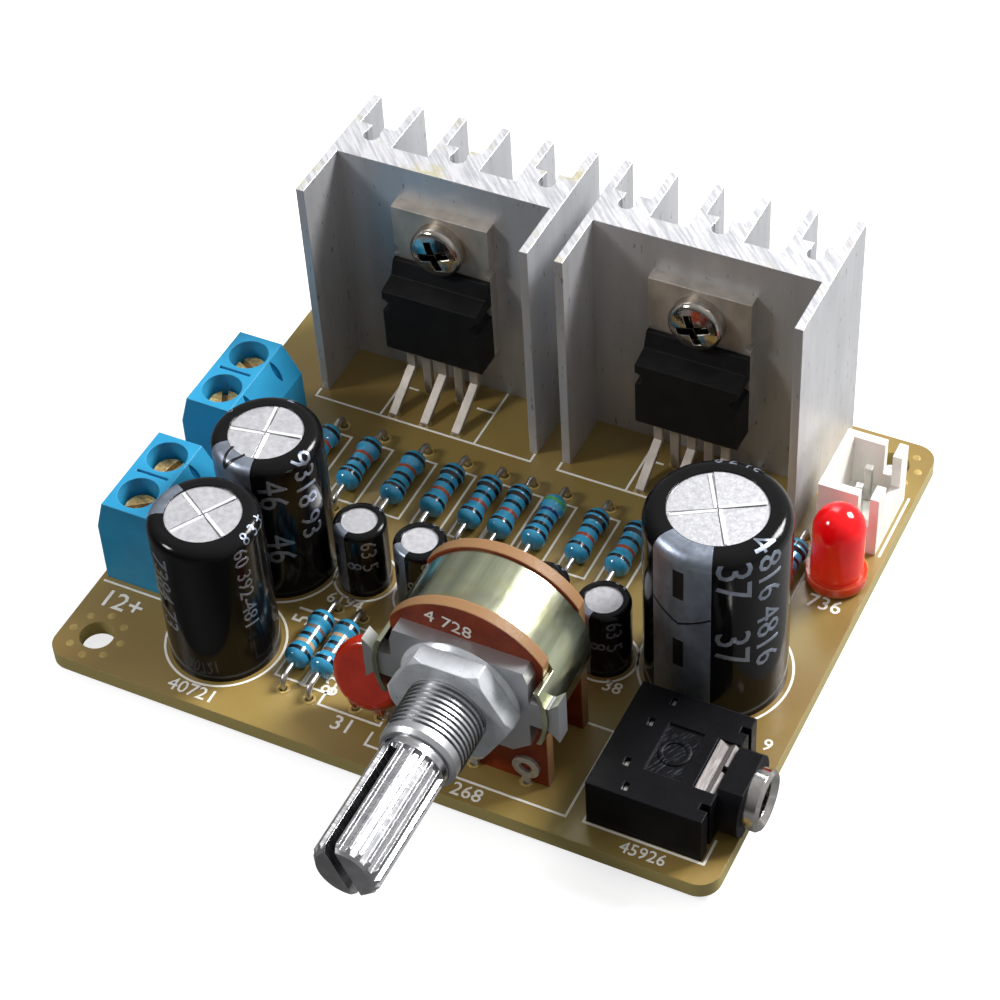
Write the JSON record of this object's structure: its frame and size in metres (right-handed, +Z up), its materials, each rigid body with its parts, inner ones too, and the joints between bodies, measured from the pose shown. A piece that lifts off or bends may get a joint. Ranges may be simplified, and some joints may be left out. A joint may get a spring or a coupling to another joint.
{
  "type": "audio amplifier board",
  "caption": "Audio amplifier circuit board with finned heatsinks behind, clamped chips, screw terminals, capacitors, a turning volume control, a plug socket and an indicator lamp.",
  "frame": {"origin": "midway between the two mounting holes, on the board's underside", "axes": "+X towards the plug socket's side, +Y towards the heatsinks, +Z up from the board; the volume shaft points to -Y"},
  "size_m": [0.0665, 0.073, 0.0278],
  "materials": {
    "board_laminate": "satin lacquer over golden laminate",
    "solder": "bright solder",
    "extruded_aluminium": "raw extruded, sawn ends",
    "tinned_metal": "dull tin plate",
    "nickel_screw": "nickel plate",
    "die_cast_zinc": "as cast",
    "phenolic_wafer": "phenolic paper laminate",
    "yellow_zinc_steel": "yellow passivated zinc",
    "shaft_aluminium": "bright turned",
    "white_plastic": "moulded",
    "spring_brass": "bright",
    "zinc_steel": "zinc plate",
    "black_plastic": "moulded, light grain",
    "nickel_plate": "nickel plate",
    "white_nylon": "moulded",
    "red_epoxy": "diffused epoxy",
    "can_aluminium": "drawn",
    "black_sleeve": "shrunk film",
    "rubber_bung": "moulded",
    "blue_lacquer": "lacquer with colour bands",
    "red_dip": "dipped coating",
    "black_moulding": "moulded epoxy",
    "blue_plastic": "moulded",
    "yellow_zinc_screw": "yellow plate",
    "clamp_brass": "bright"
  },
  "bodies": {
    "board": {"circuit_board": "board_laminate", "solder_joints": "solder", "heatsink_left": "extruded_aluminium", "heatsink_right": "extruded_aluminium", "heatsink_pins": "tinned_metal", "heatsink_screws": "nickel_screw", "volume_bushing": "die_cast_zinc", "volume_front_wafer": "phenolic_wafer", "volume_cover": "yellow_zinc_steel", "volume_rear_wafer": "phenolic_wafer", "volume_lugs": "tinned_metal", "volume_washer": "zinc_steel", "volume_nut": "zinc_steel", "jack_housing": "black_plastic", "jack_ferrule": "nickel_plate", "jack_spring_clip": "nickel_plate", "jack_contacts": "tinned_metal", "header_housing": "white_nylon", "header_pins": "tinned_metal", "lamp_lens": "red_epoxy", "lamp_leads": "tinned_metal", "small_capacitor_cans": "can_aluminium", "small_capacitor_sleeves": "black_sleeve", "capacitor_bungs": "rubber_bung", "capacitor_leads": "tinned_metal", "resistor_bodies": "blue_lacquer", "resistor_leads": "tinned_metal", "disc_capacitor_body": "red_dip", "disc_capacitor_leads": "tinned_metal", "chip_left_body": "black_moulding", "chip_left_frame": "tinned_metal", "chip_right_body": "black_moulding", "chip_right_frame": "tinned_metal", "terminal_block_1_housing": "blue_plastic", "terminal_block_1_contacts": "tinned_metal", "terminal_block_2_housing": "blue_plastic", "terminal_block_2_contacts": "tinned_metal", "capacitor_1_can": "can_aluminium", "capacitor_1_sleeve": "black_sleeve", "capacitor_2_can": "can_aluminium", "capacitor_2_sleeve": "black_sleeve", "capacitor_3_can": "can_aluminium", "capacitor_3_sleeve": "black_sleeve"},
    "shaft": {"volume_shaft": "shaft_aluminium", "volume_rotors": "white_plastic", "volume_wipers": "spring_brass"},
    "screw_1": {"terminal_screw_1": "yellow_zinc_screw"},
    "clamp_1": {"terminal_clamp_1": "clamp_brass"},
    "screw_2": {"terminal_screw_2": "yellow_zinc_screw"},
    "clamp_2": {"terminal_clamp_2": "clamp_brass"},
    "screw_3": {"terminal_screw_3": "yellow_zinc_screw"},
    "clamp_3": {"terminal_clamp_3": "clamp_brass"},
    "screw_4": {"terminal_screw_4": "yellow_zinc_screw"},
    "clamp_4": {"terminal_clamp_4": "clamp_brass"}
  },
  "joints": [
    {"name": "volume_turn", "type": "hinge", "parent": "board", "child": "shaft", "pos_m": [0.00875, -0.03, 0.0126], "axis": [0, 1, 0], "range_deg": [0, 300]},
    {"name": "terminal_screw_1_turn", "type": "hinge", "parent": "board", "child": "screw_1", "pos_m": [-0.02849, -0.0152, 0.008], "axis": [0, 0, -1], "range_deg": [0, 1440]},
    {"name": "terminal_clamp_1_lift", "type": "slide", "parent": "board", "child": "clamp_1", "axis": [0, 0, 1], "range_m": [0, 0.0018]},
    {"name": "terminal_screw_2_turn", "type": "hinge", "parent": "board", "child": "screw_2", "pos_m": [-0.02849, -0.0102, 0.008], "axis": [0, 0, -1], "range_deg": [0, 1440]},
    {"name": "terminal_clamp_2_lift", "type": "slide", "parent": "board", "child": "clamp_2", "axis": [0, 0, 1], "range_m": [0, 0.0018]},
    {"name": "terminal_screw_3_turn", "type": "hinge", "parent": "board", "child": "screw_3", "pos_m": [-0.02849, -0.0003, 0.008], "axis": [0, 0, -1], "range_deg": [0, 1440]},
    {"name": "terminal_clamp_3_lift", "type": "slide", "parent": "board", "child": "clamp_3", "axis": [0, 0, 1], "range_m": [0, 0.0018]},
    {"name": "terminal_screw_4_turn", "type": "hinge", "parent": "board", "child": "screw_4", "pos_m": [-0.02849, 0.0047, 0.008], "axis": [0, 0, -1], "range_deg": [0, 1440]},
    {"name": "terminal_clamp_4_lift", "type": "slide", "parent": "board", "child": "clamp_4", "axis": [0, 0, 1], "range_m": [0, 0.0018]}
  ],
  "couplings": [
    {"joint": "terminal_screw_1_turn", "follows": "terminal_clamp_1_lift", "rad_per_m": 13963},
    {"joint": "terminal_screw_2_turn", "follows": "terminal_clamp_2_lift", "rad_per_m": 13963},
    {"joint": "terminal_screw_3_turn", "follows": "terminal_clamp_3_lift", "rad_per_m": 13963},
    {"joint": "terminal_screw_4_turn", "follows": "terminal_clamp_4_lift", "rad_per_m": 13963}
  ]
}
